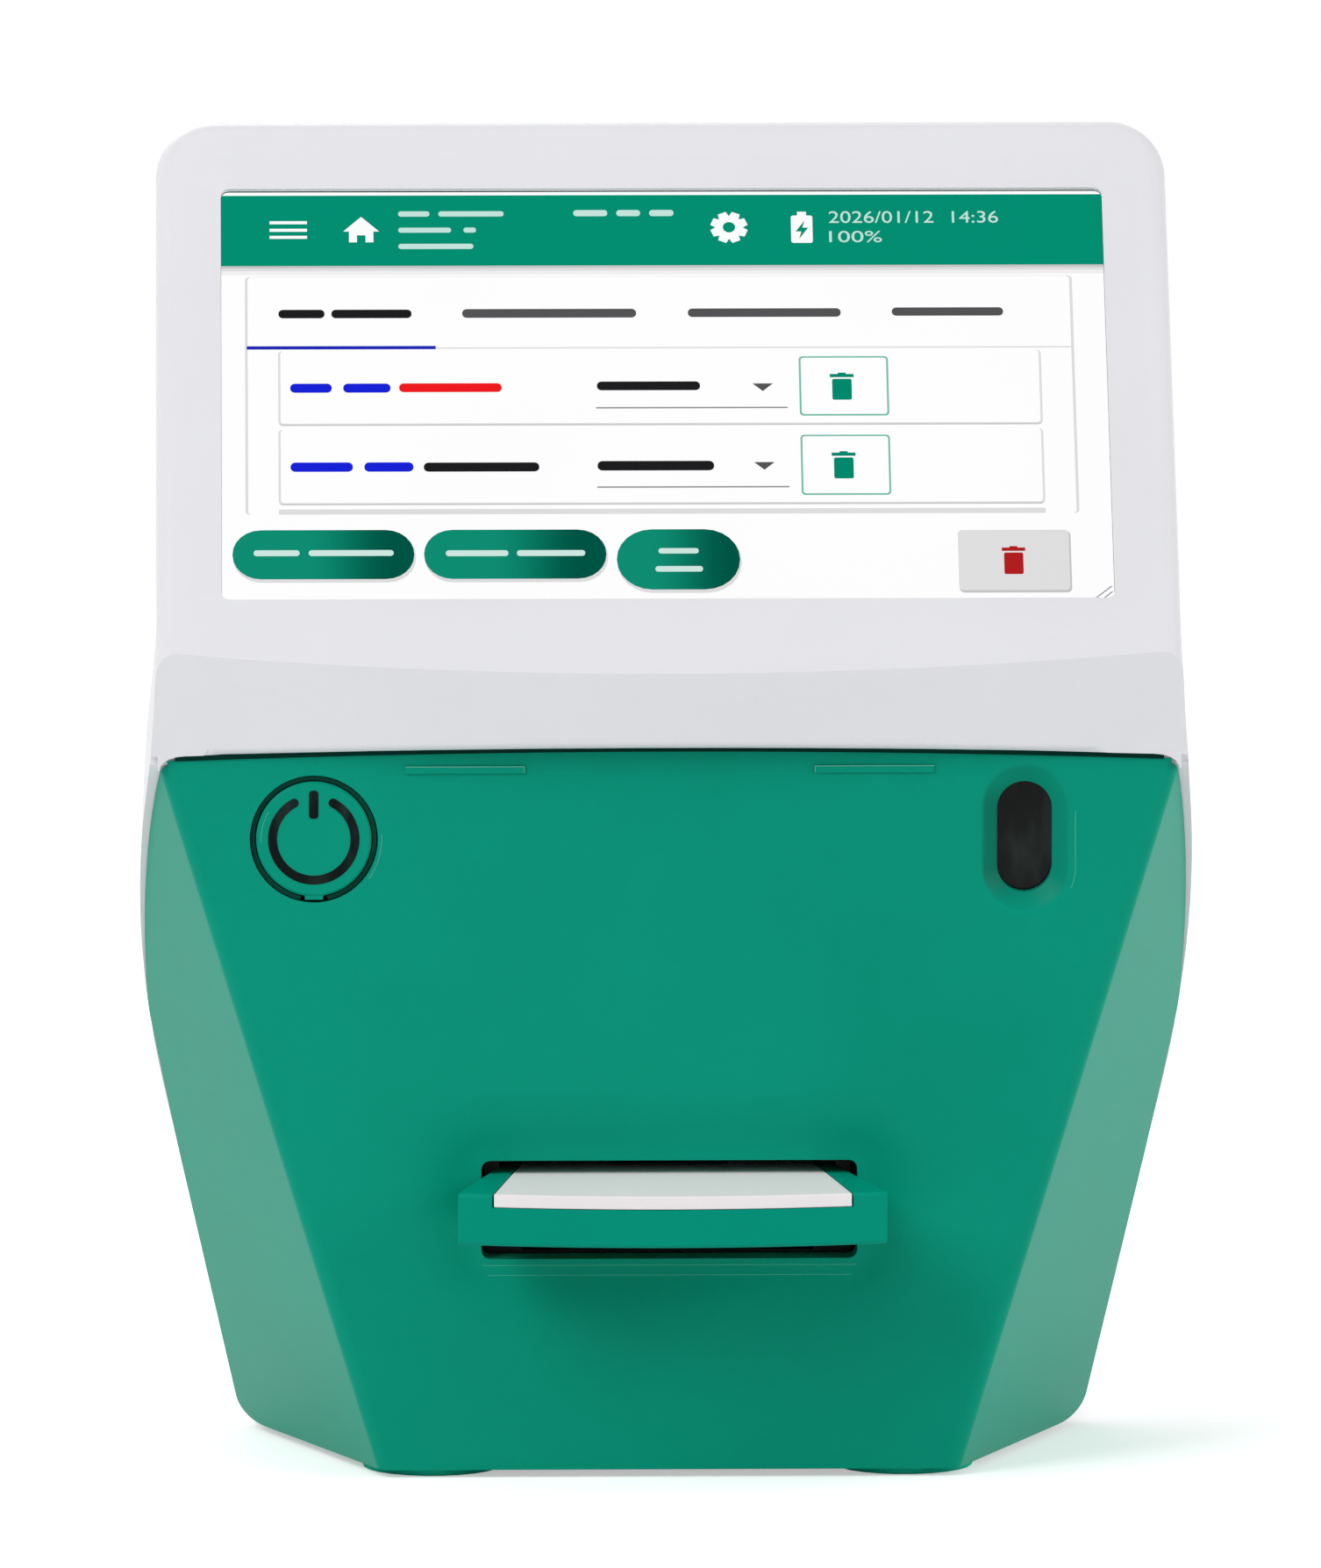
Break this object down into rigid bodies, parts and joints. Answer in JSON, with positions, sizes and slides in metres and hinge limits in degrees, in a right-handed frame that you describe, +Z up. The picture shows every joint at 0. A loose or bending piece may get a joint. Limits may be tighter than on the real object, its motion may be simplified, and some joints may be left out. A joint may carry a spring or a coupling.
{
  "type": "rapid test reader",
  "caption": "Desktop rapid test reader: white housing with tilted touch screen, green faceted front with power button, scan window and pull-out cassette drawer.",
  "frame": {"origin": "On the surface the reader stands on, under the middle of the whole object with its drawer as pictured.", "axes": "+X to the right of a person facing the screen, +Y from the front to the rear, +Z up."},
  "size_m": [0.1846, 0.199, 0.2315],
  "materials": {
    "white_plastic": "satin moulded white plastic",
    "cover_plastic": "satin moulded green plastic",
    "drawer_plastic": "satin moulded green plastic",
    "carrier_plastic": "satin moulded pale plastic",
    "foot_rubber": "matt green rubber",
    "black_plastic": "matt black plastic",
    "grey_plastic": "matt grey plastic",
    "screen_glass": "black-backed touch glass",
    "scan_glass": "dark red-tinted pane",
    "sheet_steel": "zinc-plated sheet",
    "screw_steel": "plated steel",
    "circuit_board": "solder-masked laminate",
    "socket_metal": "tinned shell",
    "sink_metal": "extruded",
    "standoff_metal": "turned",
    "foam": "soft black foam",
    "battery_wrap": "shrink wrap",
    "magnet_metal": "nickel plated"
  },
  "bodies": {
    "housing": {"upper_housing": "white_plastic", "rear_cover": "white_plastic", "front_cover": "cover_plastic", "base_plate": "grey_plastic", "feet": "foot_rubber", "base_screws": "screw_steel", "rear_screws": "screw_steel", "display_gasket": "foam", "touch_glass": "screen_glass", "display_panel": "black_plastic", "display_bracket": "sheet_steel", "display_screws": "screw_steel", "display_spacers": "standoff_metal", "display_board": "circuit_board", "button_board": "circuit_board", "button_switch": "black_plastic", "button_screws": "screw_steel", "scan_window": "scan_glass", "scan_engine": "black_plastic", "scan_bracket": "sheet_steel", "scan_screws": "screw_steel", "drawer_guide": "black_plastic", "guide_screws": "screw_steel", "keeper_plate": "sheet_steel", "drawer_sensor": "black_plastic", "camera_tower": "black_plastic", "camera_board": "circuit_board", "camera_lens": "black_plastic", "camera_screws": "screw_steel", "light_boards": "circuit_board", "main_board": "circuit_board", "standoffs": "standoff_metal", "board_screws": "screw_steel", "heat_sink": "sink_metal", "usb_sockets": "socket_metal", "network_socket": "socket_metal", "power_inlet": "black_plastic", "battery_cradle": "grey_plastic", "battery_pack": "battery_wrap", "battery_strap": "sheet_steel", "speaker": "black_plastic"},
    "drawer": {"drawer_tray": "drawer_plastic", "cassette_carrier": "carrier_plastic", "drawer_magnet": "magnet_metal"},
    "button": {"power_button": "cover_plastic"}
  },
  "joints": [
    {"name": "drawer_slide", "type": "slide", "parent": "housing", "child": "drawer", "axis": [0, -1, 0], "range_m": [0, 0.085]},
    {"name": "button_press", "type": "hinge", "parent": "housing", "child": "button", "pos_m": [-0.0619, -0.07145, 0.10175], "axis": [-1, 0, 0], "range_deg": [0, 3], "stiffness_Nm_per_rad": 0.4}
  ]
}
